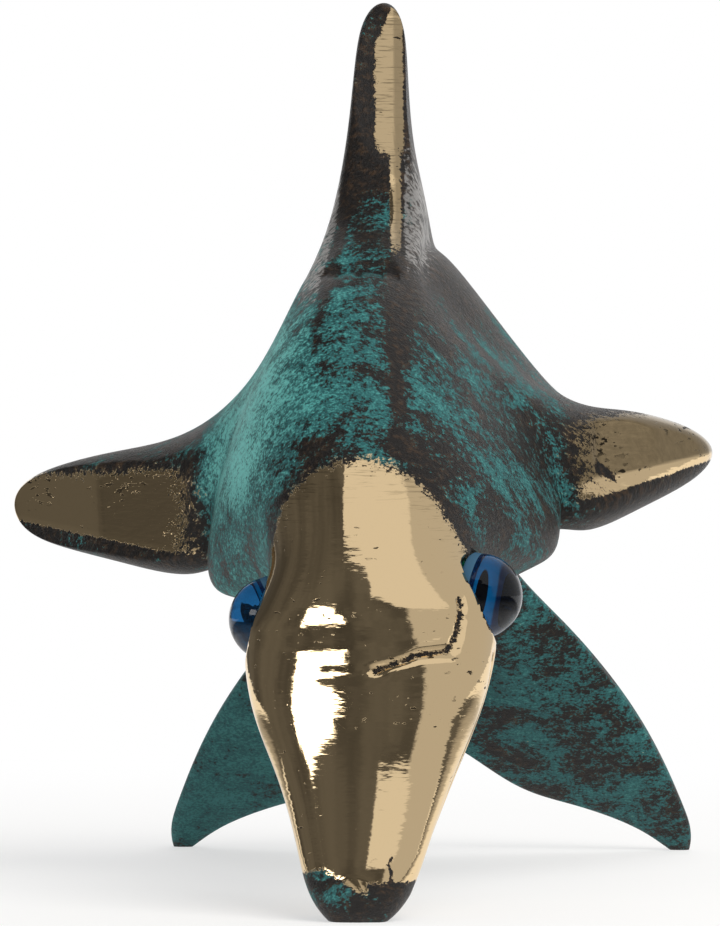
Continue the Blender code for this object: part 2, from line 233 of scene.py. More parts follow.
# Regions of the casting's masks. Each is a product of fades over a coordinate of coordinates(), 0 at
# the first value and 1 at the second, in millimetres. A micrometre between them is a sharp limit.
FIN_ROOT = (("high", 50.0, 56.0), ("high", 77.0, 73.0), ("y", 12.0, 11.999))
REGIONS = {
    "face": (("rim", -1.6, 1.6), ("over_tip", 0.0, 1.2)),
    "fin_flat": (
        ("behind_facet", 0.25, 0.08),
        ("from_taper", 1.2, 2.2),
        ("left", 4.9, 4.3),
        ("high", 72.0, 74.5),
        ("z", 91.0, 89.0),
    ),
    "arris": (("from_arris", 0.85, 0.35), ("high", 60.5, 64.5), ("high", 77.0, 75.0), ("y", 9.0, 8.999)),
    "arris_side": (("left", 3.55, 3.75), ("high", 60.0, 60.001)),
    "flipper_flat": (
        ("from_root", -1.5, 8.0),
        ("behind_flat", 19.0, 14.0),
        ("over_bare", -0.4, 0.3),
        ("over_flat", 8.8, 6.2),
        ("z", 58.0, 57.999),
        ("y", 9.0, 8.999),
    ),
    # Tarnish on the flippers stops over a lower band, which is left bright as a painted highlight
    "dull": (("out", 15.0, 18.0), ("over_painted_highlight", 0.0, 0.3), ("z", 58.0, 57.999)),
    "brow": (("rim", 4.0, 0.5), ("high", 60.0, 59.999), ("out", 12.0, 11.999)),
    "behind_face": (("rim", -5.5, -1.0), ("rim", 1.0, -1.0)),
    "back_fin": (("z", 66.0, 76.0),),
    "over_back": (("high", 60.0, 60.001),),
    "flippers": (("out", 15.0, 22.0), ("z", 24.0, 30.0)),
    "flanks": (("out", 2.5, 4.5), ("out", 13.0, 8.0), ("z", 52.0, 62.0)),
    "left_half": (("x", -6.0, 6.0),),
    "left_side": (("x", 6.0, 10.0),),
    "left_back": (("left", 2.0, 8.0),),
    "beak_foot": (("high", 5.0, 3.0), ("y", 0.0, -0.001)),
    "beak_patch": (("y", -40.0, -40.001),),
    "tail": (("along", 95.0, 125.0),),
    "lush": (("high", 34.0, 42.0), ("high", 70.0, 62.0), ("y", 20.0, 19.999)),
    "crest": (("left", -1.0, 0.0), ("left", 3.6, 2.8), ("high", 54.0, 62.0), ("y", 10.0, 9.999)),
    "right_seam": FIN_ROOT,
    "left_seam": FIN_ROOT,
    "chest_ridge": (("high", 41.0, 45.0), ("high", 64.0, 58.0), ("y", 8.0, 7.999)),
    "middle": (("left", -5.0, 0.0),),
    # Where a sheen of light off the oxide is painted as grey metal streaks
    "right_sheen": (("from_seam", -0.4, -0.9), ("from_seam", -3.6, -2.0), ("high", 54.0, 60.0)),
    "left_sheen": (("left", 4.3, 4.8), ("left", 9.5, 6.0), ("high", 56.0, 64.0)),
    "sheen_end": (("high", 80.0, 68.0), ("y", 20.0, 8.0)),
}
# What narrows a region to a stripe or spot: a coordinate, its middle and its reach
STRIPES = {
    "lush": (("from_lush", -11.5, 3.4),),
    "right_seam": (("from_seam", 0.0, 0.6),),
    "left_seam": (("left", 4.2, 0.5),),
    "chest_ridge": (("left", 3.7, 0.8),),
    "beak_patch": (("left", -1.4, 2.2), ("high", 2.4, 1.1)),
}
# Verdigris that the casting holds, less in the grooves, and what each region adds to it
GREEN_BASE = 0.6
GREEN_GROOVE = -0.5
GREEN = {
    "back_fin": -0.34,
    "flippers": -0.34,
    "flanks": -0.3,
    "behind_face": -0.2,
    "left_half": -0.07,
    "left_back": -0.1,
    "beak_foot": -0.3,
    "tail": 0.06,
    "crest": -0.16,
    "lush": 0.22,
    "right_seam": -0.35,
    "left_seam": -0.35,
    "chest_ridge": -0.28,
    "beak_patch": 0.5,
}

FIN_SLANT = 0.09  # of the fin's middle, to the left per millimetre of Y
# Edge of the bare face: its arc, where it is highest in X and how it bows to both sides, and its
# height over the spine and slope there
RIM_ARC, RIM_X, RIM_BOW, RIM_UP, RIM_SLOPE = 38.0, 0.5, 0.0004, 12.0, 0.15
# Lower edge of the bare beak: its height, what it rises by at the right and in a tongue, and their reach
TIP_HIGH, TIP_RISE, TIP_RIGHT, TONGUE = 3.0, 0.6, (3.5, 0.5), (-3.2, 1.4)
TAPER_FROM, TAPER = 84.5, 0.375  # of the fin's flat, at its top
ARRIS_LEFT, ARRIS_BARE = 3.75, 0.8
FLIPPER_ROOTS = (16.0, 17.5)  # left and right
# Lines under the bare flats, left and right, and over their bright lower bands, left untarnished as a
# painted highlight along the flippers' lower edges: distance to the left, height there and slope
BARE_LINES = ((20.5, 37.5, 0.31), (-20.9, 33.4, -0.195))
PAINTED_HIGHLIGHT_LINES = ((20.5, 1.9, -0.09), (0.0, 0.3, 0.0))
FLAT_TARNISH = (1.0, 0.15)  # left and right
ARRIS_TARNISH = 0.6
BROW_SCORES = 0.6
LEFT_PITS = 0.5
# Paths that stay dark in the bare metal: path and reach, and how much of the metal they hide
DARK_PATHS = ((BROW_CREASE, 0.42), (FLIPPER_PIT, 0.5), (BEAK_CRACK, 0.22))
DARK_MOUTH = 0.3
DARK_SHARE = 0.85
GROOVE_REACH = 1.0
LUSH_SLOPE, LUSH_FROM = 0.244, 42.0  # how the lush stripe slants, from a height
RIGHT_SEAM = ((50.0, 55.0, 59.0, 65.0, 70.0), (-4.6, -3.8, -3.0, -1.5, -1.0))  # heights, and left there
TAIL_DEEP, MIDDLE_DEEP = 0.8, 0.6
# How strongly the painted sheen is laid
SHEEN = 0.62
GRAIN_SQUASH = 0.6  # of the patina's pattern across the spine

# The room that polished metal mirrors. Turn is the azimuth from straight ahead towards the figure's
# left, and rise is the elevation, in degrees. A pair fades from nothing to all, and four values are
# where a line starts and ends to bend, and its two places.
ROOM_WOBBLE = 14.0
REAR_WALL_Y = (0.74, 0.88)
SIDE_WALL_TURN = (37.0, 41.0)
PANEL_SOFT = (0.0, 1.5)
PANEL_FAR_TURN = (84.0, 76.0)
PANEL_NEAR = (46.5, 45.0, -26.0, 8.0)  # turn of its near edge by rise
PANEL_FOOT = (12.0, 42.0, 33.0, 25.0)  # rise of its lower edge by turn
WINDOW_SOFT = (0.0, -2.0)
WINDOW_FAR_TURN = (-59.0, -56.0)
WINDOW_NEAR = (16.0, 21.0, -14.0, -24.0)  # turn of its near edge by rise
WINDOW_FOOT_RISE = (10.0, 12.0)
WINDOW_TOP_RISE = (25.5, 23.5)
GLOOM = (0.3, 0.7, 0.7, 1.5)  # level of the dark room by noise

# The floor: its radius in millimetres, and in metres the distances over which its glow grows, and the
# Y and the distances over which the metal mirrors it darker
FLOOR_RADIUS = 3000.0
FLOOR_SIDES = 96
FLOOR_FAR = (0.05, 0.22, 0.55, 1.0)
FLOOR_FRONT_Y = (0.10, 0.02)
FLOOR_FRONT_FAR = (0.05, 0.09)
FLOOR_MIRRORED = 0.12

# Lamps: name, place and size in metres, and colour
SOFTBOX = ("softbox", (0.30, -0.34, 0.55), (0.5, 0.5), (1.0, 0.97, 0.92))
REAR_LAMP = ("rear_lamp", (0.05, 0.55, 0.45), (0.5, 0.3), (1.0, 1.0, 1.0))
LAMP_AIM = Vector((0, 0, 0.04))
CAMERA_ASIDE = 0.0002  # X of the point that the camera looks at


def real(name, description, default, unit="LENGTH", **kind):
    """A size in metres, an angle in radians, a lamp's power or a level of light where 1 is white."""
    return bpy.props.FloatProperty(name=name, description=description, default=default, unit=unit, **kind)


def colour(name, description, *default):
    """A linear colour."""
    return bpy.props.FloatVectorProperty(name=name, description=description, default=default, subtype="COLOR")


class DolphinShape(bpy.types.PropertyGroup):
    """Sizes of the figurine."""

    head_pitch: real("Head pitch", "Angle that the beak points below level", math.radians(60), "ROTATION")
    tail_pitch: real("Tail pitch", "Angle that the tail falls below level", math.radians(70), "ROTATION")
    arch_radius: real("Arch radius", "Radius of the spine's arch over the back", 0.04)
    lean: real("Lean", "Twist of the front half to its right", math.radians(6.5), "ROTATION")
    left_reach: real("Left flipper reach", "Middle plane to the tip of the left flipper", 0.032)
    right_reach: real("Right flipper reach", "Middle plane to the tip of the right flipper", 0.041)
    eye_radius: real("Eye radius", "Radius of the domed glass eyes", 0.004)
    pupil_share: real("Pupil", "Radius of the pupil over that of the eye", 0.45, "NONE", subtype="FACTOR")
    smoothing: bpy.props.IntProperty(
        name="Smoothing",
        description="Levels of the Subdivision Surface on the casting",
        default=4,
    )


class DolphinFinish(bpy.types.PropertyGroup):
    """Colours of the metal, the patina, the glass and the floor."""

    bronze: colour("Polished bronze", "Bare polished metal", 0.86, 0.65, 0.38)
    tarnished: colour("Tarnished bronze", "Bare metal on the flippers", 0.20, 0.15, 0.085)
    brown: colour("Brown patina", "Thin oxide on the metal", 0.055, 0.032, 0.017)
    black: colour("Black patina", "Thick oxide on the metal and in its pits", 0.012, 0.010, 0.009)
    # A painted sheen: grey metal laid in streaks where light glints off the oxide beside the back fin
    painted_sheen: colour("Painted sheen", "Silvery streaks beside the back fin", 0.48, 0.46, 0.44)
    verdigris: colour("Bright verdigris", "Thick blue-green patina", 0.085, 0.38, 0.36)
    pale_verdigris: colour("Pale verdigris", "Thick patina on the right flank", 0.19, 0.62, 0.58)
    deep_verdigris: colour("Deep verdigris", "Thin blue-green patina", 0.014, 0.095, 0.10)
    glass: colour("Glass", "Tint of the glass eyes", 0.01, 0.10, 0.26)
    iris: colour("Iris", "Paint behind the glass eyes", 0.03, 0.85, 0.95)
    # Painted shade: the dark rim stands for the dark seen through the edge of the glass dome
    iris_rim_painted_shade: colour("Iris rim painted shade", "Paint at the edge of the iris", 0.05, 0.12, 0.2)
    pupil: colour("Pupil", "Paint in the middle of the iris", 0.004, 0.005, 0.008)
    floor: colour("Floor", "Pale floor under the figurine", 0.9, 0.9, 0.9)
    floor_mottle: colour("Floor mottle", "Faint mottle of the floor", 0.93, 0.93, 0.93)


class DolphinStudio(bpy.types.PropertyGroup):
    """Camera, lamps and the room that the metal mirrors."""

    distance: real("Camera distance", "Camera to the middle of the figurine", 0.545)
    height: real("Camera height", "Height of the level camera over the floor", 0.0418)
    yaw: real("Camera yaw", "Angle to the figurine's left of its front", math.radians(5.2), "ROTATION")
    focal: real("Focal length", "Focal length for a 36 mm sensor", 212.2, "CAMERA")
    softbox: real("Softbox", "Lamp high in front, at the figurine's left", 4.0, "POWER")
    fill: real("Rear lamp", "Lamp high behind the figurine", 1.2, "POWER")
    panel: real("Panel", "Lit panel over the camera, as the metal mirrors it", 0.78, "NONE")
    side: real("Side wall", "Wall at the figurine's left, as the metal mirrors it", 0.55, "NONE")
    dark: real("Dark room", "Room behind the camera, as the metal mirrors it", 0.085, "NONE")
    window: real("Window", "Window at the figurine's right, as the metal mirrors it", 4.5, "NONE")
    room: real("Room", "Light that the room sheds on everything", 0.45, "NONE")


def heading(arc, shape):
    """Angle of the spine over level: head_pitch up to HEAD_STRAIGHT, then minus (arc - HEAD_STRAIGHT)
    / arch_radius, down to minus tail_pitch."""
    turned = np.maximum(arc - HEAD_STRAIGHT, 0.0) / (shape.arch_radius / MM)
    return np.maximum(shape.head_pitch - turned, -shape.tail_pitch)


def off_spine(side, arc, up, shape):
    """Points beside and over the spine. The spine is a straight line at head_pitch, a circle of
    arch_radius and a straight line at tail_pitch: y = tip + l cos(pitch) + R (sin(pitch) - sin(heading))
    + past cos(heading), and z likewise with the cosines."""
    side, arc, up = np.broadcast_arrays(side, arc, up)
    radius = shape.arch_radius / MM
    pitch = shape.head_pitch
    angle = heading(arc, shape)
    straight = np.minimum(arc, HEAD_STRAIGHT)
    past = np.maximum(arc - HEAD_STRAIGHT - radius * (pitch + shape.tail_pitch), 0.0)
    y = BEAK_TIP[0] + straight * math.cos(pitch) + past * np.cos(angle)
    z = BEAK_TIP[1] + straight * math.sin(pitch) + past * np.sin(angle)
    y = y + radius * (math.sin(pitch) - np.sin(angle)) - up * np.sin(angle)
    z = z + radius * (np.cos(angle) - math.cos(pitch)) + up * np.cos(angle)
    return np.stack([side, y, z], -1)


def lean_turn(points, shape, sign):
    """Turns each point about the Y axis through the pivot by the lean, faded to nothing at the tail
    by 1 - f f (3 - 2 f). The pivot is a parabola in y."""
    y = points[..., 1]
    fade = np.clip((y - LEAN_FROM_Y) / (LEAN_TO_Y - LEAN_FROM_Y), 0.0, 1.0)
    angle = -sign * shape.lean * (1 - fade * fade * (3 - 2 * fade))
    rise = points[..., 2] - (PIVOT_Z - PIVOT_DROP * (y / HALF_LENGTH) ** 2)
    x = points[..., 0]
    turned = points.copy()
    turned[..., 0] = x * np.cos(angle) + rise * np.sin(angle)
    turned[..., 2] += rise * (np.cos(angle) - 1) - x * np.sin(angle)
    return turned


def hand_made(points, shape):
    """The leaning figure, brought over the origin."""
    return lean_turn(points, shape, 1) + CENTRE


def upright(points, shape):
    """The opposite of hand_made."""
    back = points - CENTRE
    return lean_turn(back, shape, -1)


def ring_grid(shape):
    """Rings by points round the ring: an ellipse of half width w and of unequal heights t + drop over
    and b - drop under its widest point, thinned by the ridge and swept back by the rake."""
    arc, top, bottom, width, drop, ridge, rake, aside = (column[:, None] for column in RINGS.T)
    angle = np.arange(AROUND)[None, :] * (2 * math.pi / AROUND)
    rise = np.cos(angle)
    upper = np.maximum(rise, 0.0)
    reach = np.where(rise > 0, top + drop, bottom - drop)
    side = aside + width * np.sin(angle) * (1 - ridge * upper)
    return off_spine(side, arc + rake * (1 - upper), rise * reach - drop, shape)


def fin_grid(profile, front, rear, thick, tip):
    """Sections by three rows by points of the profile: front + share (rear - front), moved by plus or
    minus thickness times fullness, with a bowed edge line between the two faces."""
    share = np.tile(profile[:, 0], (3, 1))
    share[1, 0] = -EDGE_ROUNDING
    share[1, -1] = 1 + EDGE_ROUNDING
    full = np.array((1.0, 0.0, -1.0))[:, None] * profile[None, :, 1]
    grid = front[:, None, None] + (rear - front)[:, None, None] * share[None, :, :, None]
    grid = grid + thick[:, None, None] * full[None, :, :, None]
    grid[:, 1, 1:-1] += tip
    return grid


def back_fin_grid():
    """The back fin, thick in X."""
    nought = np.zeros(len(BACK_FIN))
    front = np.stack([-BACK_FIN[:, 5], BACK_FIN[:, 0], BACK_FIN[:, 1]], -1)
    rear = np.stack([-BACK_FIN[:, 5], BACK_FIN[:, 2], BACK_FIN[:, 3]], -1)
    thick = np.stack([-BACK_FIN[:, 4], nought, nought], -1)
    return fin_grid(BACK_FIN_SECTION, front, rear, thick, np.array((0, 0, BACK_FIN_TIP)))


def flipper_grid(sign, reach):
    """A flipper, thick in Z."""
    share, front_y, front_z, rear_y, rear_z, half = (LEFT_FLIPPER if sign > 0 else RIGHT_FLIPPER).T
    out = sign * (FLIPPER_ROOT + share * (reach - FLIPPER_ROOT))
    front = np.stack([out, front_y, front_z], -1)
    rear = np.stack([out, rear_y, rear_z], -1)
    thick = np.stack([0 * half, 0 * half, half], -1)
    return fin_grid(FLIPPER_SECTION, front, rear, thick, np.array((sign * FLIPPER_TIP, 0, 0)))


def fluke_grid(sign, shape):
    """A fluke in the plane of the spine's last stretch."""
    out = sign * FLUKE[:, 0]
    front = off_spine(out, FLUKE[:, 1], 0.0, shape)
    rear = off_spine(out, FLUKE[:, 2], 0.0, shape)
    thick = off_spine(out, FLUKE[:, 2], FLUKE[:, 3], shape) - rear
    return fin_grid(FLUKE_SECTION, front, rear, thick, np.array((sign * FLUKE_TIP, 0, 0)))


def rims(grids):
    """The ten or twelve vertices round the edge of each three-row grid, in order."""
    top, middle, bottom = grids[:, 0], grids[:, 1], grids[:, 2]
    return np.concatenate([top, middle[:, -1:], bottom[:, ::-1], middle[:, :1]], 1)


def patch_ids(patch, mirrored):
    """Vertex numbers of a patch of the rings, rows across and columns along."""
    first, last, low, high = patch
    across = np.arange(low, high + 1) * (-1 if mirrored else 1) % AROUND
    return np.arange(first, last + 1)[None, :] * AROUND + across[:, None]


def fin_faces(root, numbers):
    """Quads between the rims of a root and of each section, and over the last section."""
    grids = np.concatenate([root[None], numbers])
    edge = rims(grids)
    after = np.roll(edge, -1, 1)
    walls = np.stack([edge[:-1], edge[1:], after[1:], after[:-1]], -1).reshape(-1, 4)
    end = numbers[-1]
    cap = np.stack([end[:-1, :-1], end[1:, :-1], end[1:, 1:], end[:-1, 1:]], -1).reshape(-1, 4)
    return np.concatenate([walls, cap])


def cage(shape):
    """Points, quads and triangles of the whole cage, and a mask of its fin tips."""
    rings = ring_grid(shape)
    points = [rings.reshape(-1, 3)]
    count = len(points[0])
    i, k = np.meshgrid(np.arange(len(RINGS) - 1), np.arange(AROUND), indexing="ij")
    m = (k + 1) % AROUND
    wall = np.stack([i * AROUND + k, i * AROUND + m, (i + 1) * AROUND + m, (i + 1) * AROUND + k], -1)
    closed = np.ones(i.shape, bool)
    quads = []
    tips = []
    fins = (
        (BACK_FIN_PATCH, False, back_fin_grid()),
        (FLIPPER_PATCH, False, flipper_grid(1, shape.left_reach / MM)),
        (FLIPPER_PATCH, True, flipper_grid(-1, shape.right_reach / MM)),
        (FLUKE_PATCH, False, fluke_grid(1, shape)),
        (FLUKE_PATCH, True, fluke_grid(-1, shape)),
    )
    for patch, mirrored, grid in fins:
        first, last, low, high = patch
        lows = np.arange(low, high) if not mirrored else -np.arange(low + 1, high + 1)
        closed[first:last, lows % AROUND] = False
        numbers = count + np.arange(grid[..., 0].size).reshape(grid.shape[:3])
        quads.append(fin_faces(patch_ids(patch, mirrored), numbers))
        tips.append(numbers[-1].ravel())
        points.append(grid.reshape(-1, 3))
        count += grid[..., 0].size
    quads.append(wall[closed])
    lay = np.array(((0, 1, 5, 6), (1, 2, 4, 5), (0, 6, 7, 11), (11, 7, 8, 10)))
    corner = np.array(((2, 3, 4), (10, 8, 9)))
    last_ring = (len(RINGS) - 1) * AROUND
    quads += [lay, lay + last_ring]
    tris = np.concatenate([corner, corner + last_ring])
    quads = np.concatenate(quads)
    points = np.concatenate(points)
    used = np.unique(np.concatenate([quads.ravel(), tris.ravel()]))
    renumber = np.full(len(points), -1)
    renumber[used] = np.arange(len(used))
    round_tip = np.zeros(len(points), bool)
    round_tip[np.concatenate(tips)] = True
    return points[used], renumber[quads], renumber[tris], round_tip[used]


def fitted(points, quads, tris, round_tip):
    """Swells the cage until the smooth surface passes its points: each round adds point - limit, where
    limit = (n n v + 4 sum of edge neighbours + sum of face opposites) / (n (n + 5))."""
    sides = np.concatenate([quads[:, [a, (a + 1) % 4]] for a in range(4)])
    sides = np.concatenate([sides] + [tris[:, [a, (a + 1) % 3]] for a in range(3)])
    edges = np.unique(np.sort(sides, 1), axis=0)
    valence = np.bincount(edges.ravel(), minlength=len(points))[:, None]
    opposite = np.concatenate([quads[:, [a, (a + 2) % 4]] for a in range(4)])
    ring = np.concatenate([tris[:, [a, (a + 1) % 3, (a + 2) % 3]] for a in range(3)])
    target = points
    for _ in range(FIT_ROUNDS):
        near = np.zeros_like(points)
        np.add.at(near, edges[:, 0], points[edges[:, 1]])
        np.add.at(near, edges[:, 1], points[edges[:, 0]])
        across = np.zeros_like(points)
        np.add.at(across, opposite[:, 0], points[opposite[:, 1]])
        np.add.at(across, ring[:, 0], (points[ring[:, 1]] + points[ring[:, 2]]) / 2)
        limit = (valence * valence * points + 4 * near + across) / (valence * (valence + 5))
        points = np.where(round_tip[:, None], points, points + target - limit)
    return points


def new_mesh(name, points, faces):
    """A smooth-shaded mesh from points in millimetres, with its faces turned outwards."""
    mesh = bpy.data.meshes.new(name)
    mesh.from_pydata((points * MM).tolist(), [], faces)
    bm = bmesh.new()
    bm.from_mesh(mesh)
    bmesh.ops.recalc_face_normals(bm, faces=bm.faces)
    bm.to_mesh(mesh)
    bm.free()
    mesh.shade_smooth()
    return mesh


def new_object(name, data):
    obj = bpy.data.objects.new(name, data)
    bpy.context.scene.collection.objects.link(obj)
    return obj


def made_solid(obj):
    """Applies the modifiers of an object to its mesh."""
    bpy.context.view_layer.update()
    graph = bpy.context.evaluated_depsgraph_get()
    mesh = bpy.data.meshes.new_from_object(obj.evaluated_get(graph))
    obj.modifiers.clear()
    obj.data = mesh
    return mesh


def get_points(mesh):
    """Vertex places in millimetres and vertex normals."""
    points = np.empty(len(mesh.vertices) * 3, np.float32)
    mesh.vertices.foreach_get("co", points)
    normals = np.empty(len(mesh.vertices) * 3, np.float32)
    mesh.vertex_normals.foreach_get("vector", normals)
    return points.reshape(-1, 3).astype(float) / MM, normals.reshape(-1, 3).astype(float)


def put_points(mesh, points):
    mesh.vertices.foreach_set("co", (points * MM).astype(np.float32).ravel())
    mesh.update()


def smoothstep(low, high, value):
    """t t (3 - 2 t), where t goes from 0 at low to 1 at high and is kept between them."""
    t = np.clip((value - low) / (high - low), 0.0, 1.0)
    return t * t * (3 - 2 * t)


def put_mask(mesh, name, values):
    layer = mesh.attributes.new(name, "FLOAT", "POINT")
    layer.data.foreach_set("value", values.astype(np.float32))


def path_distance(points, path):
    """Distance of each point to a path of straight pieces: to a piece from a to b it is the length of
    p - a - t (b - a), with t = (p - a).(b - a) / |b - a|^2 kept between 0 and 1."""
    path = np.asarray(path, float)
    best = np.full(len(points), np.inf)
    for start, end in zip(path[:-1], path[1:]):
        step = end - start
        t = np.clip((points - start) @ step / (step @ step), 0.0, 1.0)
        best = np.minimum(best, np.linalg.norm(points - start - t[:, None] * step, axis=1))
    return best


def on_surface(points, path):
    """The path with each of its points moved to the nearest vertex."""
    gaps = np.linalg.norm(points[None] - np.asarray(path, float)[:, None], axis=2)
    return points[gaps.argmin(1)]


def mouth_path(sign, shape):
    """A path along the beak: ring points at an angle a round it, (w sin a, h cos a)."""
    arc = np.array(MOUTH_ARCS)
    turn = np.radians(MOUTH_TURN)
    depth, width, aside = (np.interp(arc, RINGS[:, 0], RINGS[:, column]) for column in (2, 3, 7))
    side = aside + sign * width * np.sin(turn)
    return hand_made(off_spine(side, arc, depth * np.cos(turn), shape), shape)


def carved(points, normals, shape):
    """Each stroke moves the surface in by depth exp(-(d / width)^2), where d is the distance to its
    path. Each swell moves it out by height exp(-|(p - middle) / reach|^2)."""
    moved = points.copy()
    strokes = list(STROKES)
    strokes += [(mouth_path(sign, shape), MOUTH_WIDTH, MOUTH_DEPTH) for sign in (1, -1)]
    head = np.flatnonzero(points[:, 1] < HEAD_ENDS_Y)
    near, out = points[head], normals[head]
    for path, width, depth in strokes:
        d = path_distance(near, on_surface(near, path))
        moved[head] -= out * (depth * np.exp(-((d / width) ** 2)))[:, None]
    for middle, reach, height in SWELLS:
        d = (near - middle) / reach
        moved[head] += out * (height * np.exp(-(d * d).sum(1)))[:, None]
    return moved


def fin_facet(points, shape):
    """Depth of each point behind the filed front of the back fin, and its distance to the left of the
    fin's middle: the facet is the plane y = edge(z) + depth + slope x in the upright figure."""
    x, y, z = upright(points, shape).T
    bend = np.interp(z, BACK_FIN[:, 1], BACK_FIN[:, 5])
    edge = np.interp(z, BACK_FIN[:, 1], BACK_FIN[:, 0])
    share = smoothstep(*FACET_DEEPENS, z)
    plane = edge - FACET_START + share * (FACET_DEPTH + FACET_SLOPE * (x + bend))
    plane -= sum(depth * (1 - smoothstep(low, high, z)) for depth, low, high in FACET_LEAVES)
    return y - plane, x + bend


def flipper_flat(points, shape):
    """Depth of each point behind the flat of its side's flipper, and its height over the flat's lower
    edge: the flat is the plane y = edge(|x|) + slope (z - low)."""
    x, y, z = upright(points, shape).T
    left, right = (np.interp(np.abs(x), flat[0], flat[1]) for flat in (LEFT_FLAT, RIGHT_FLAT))
    over = z - np.where(x > 0, LEFT_FLAT[2], RIGHT_FLAT[2])
    plane = np.where(x > 0, left, right) + FLAT_SLOPE * over
    depth, near, far = FLAT_LEAVES
    return y - plane + depth * (1 - smoothstep(near, far, np.abs(x))), over


def filed(points, shape):
    """Moves what stands in front of the fin's facet and the flippers' flats straight back onto them."""
    behind, _ = fin_facet(points, shape)
    high = (points[:, 2] > FIN_FILED_OVER) & (behind < 0)
    points[high, 1] -= behind[high]
    behind, _ = flipper_flat(points, shape)
    x, y, z = points.T
    low, high = FLIPPER_FILED_Z
    out = (np.abs(x) > FLIPPER_FILED_OUT) & (y > FLIPPER_FILED_Y) & (z > low) & (z < high) & (behind < 0)
    points[out, 1] -= behind[out]
    return points


def grain_lines(points, shape):
    """Place of each point along the spine and off it, from the nearest of its samples: side, arc, up.
    Patina patterns follow it, drawn out sideways, as the streaks run from the ridge to the fins."""
    side, y, z = upright(points, shape).T
    arc = np.linspace(0.0, RINGS[-1, 0], SPINE_SAMPLES)
    spine = off_spine(0.0, arc, 0.0, shape)
    gaps = (y[:, None] - spine[None, :, 1]) ** 2 + (z[:, None] - spine[None, :, 2]) ** 2
    nearest = gaps.argmin(1)
    along = arc[nearest]
    angle = heading(along, shape)
    up = (z - spine[nearest, 2]) * np.cos(angle) - (y - spine[nearest, 1]) * np.sin(angle)
    forward = (y - spine[nearest, 1]) * np.cos(angle) + (z - spine[nearest, 2]) * np.sin(angle)
    return side, along + forward, up


def eye_place(sign, shape):
    """Middle of an eye's rim, and its unit axes across, up and out of the head."""
    side = EYE_ASIDE + sign * EYE_SIDE
    rim = off_spine(side, EYE_ARC, EYE_UP, shape)
    forward = off_spine(side, EYE_ARC - 1, EYE_UP, shape) - rim
    squint = math.radians(EYE_SQUINT)
    outward = np.array((sign, 0, 0)) * math.cos(squint) + forward * math.sin(squint)
    centre = hand_made(rim, shape)
    out = hand_made(rim + outward, shape) - centre
    out /= np.linalg.norm(out)
    across = np.cross((0.0, 0.0, 1.0), out)
    across /= np.linalg.norm(across)
    return centre, across, np.cross(out, across), out


def turned(profile, segments, place):
    """A closed solid of revolution: (r cos a, r sin a, h) for each pair r, h of the profile, whose two
    ends lie on the axis, set at an eye's place."""
    centre, across, up, out = place
    angle = np.arange(segments) * (2 * math.pi / segments)
    radius = profile[1:-1, 0][:, None]
    height = np.broadcast_to(profile[1:-1, 1][:, None], (len(radius), segments))
    local = np.stack([radius * np.cos(angle), radius * np.sin(angle), height], -1).reshape(-1, 3)
    ends = np.array(((0, 0, profile[0, 1]), (0, 0, profile[-1, 1])))
    local = np.concatenate([local, ends])
    points = centre + local @ np.stack([across, up, out])
    number = np.arange(len(radius) * segments).reshape(len(radius), segments)
    after = np.roll(number, -1, 1)
    quads = np.stack([number[:-1], after[:-1], after[1:], number[1:]], -1).reshape(-1, 4)
    first = np.stack([after[0], number[0], np.full(segments, number.size)], -1)
    last = np.stack([number[-1], after[-1], np.full(segments, number.size + 1)], -1)
    return points, quads.tolist() + first.tolist() + last.tolist()


def shader_material(name, values):
    """A material with one Principled BSDF, whose sockets get the values."""
    mat = bpy.data.materials.new(name)
    mat.use_nodes = True
    shader = mat.node_tree.nodes["Principled BSDF"]
    for key, value in values.items():
        shader.inputs[key].default_value = value
    return mat, shader


class Value:
    """An output of a node, to which other outputs and numbers are added, taken off or multiplied."""

    def __init__(self, wires, socket):
        self.wires = wires
        self.socket = socket

    def __add__(self, other):
        return self.wires.maths("ADD", self, other)

    def __sub__(self, other):
        return self.wires.maths("SUBTRACT", self, other)

    def __mul__(self, other):
        return self.wires.maths("MULTIPLY", self, other)


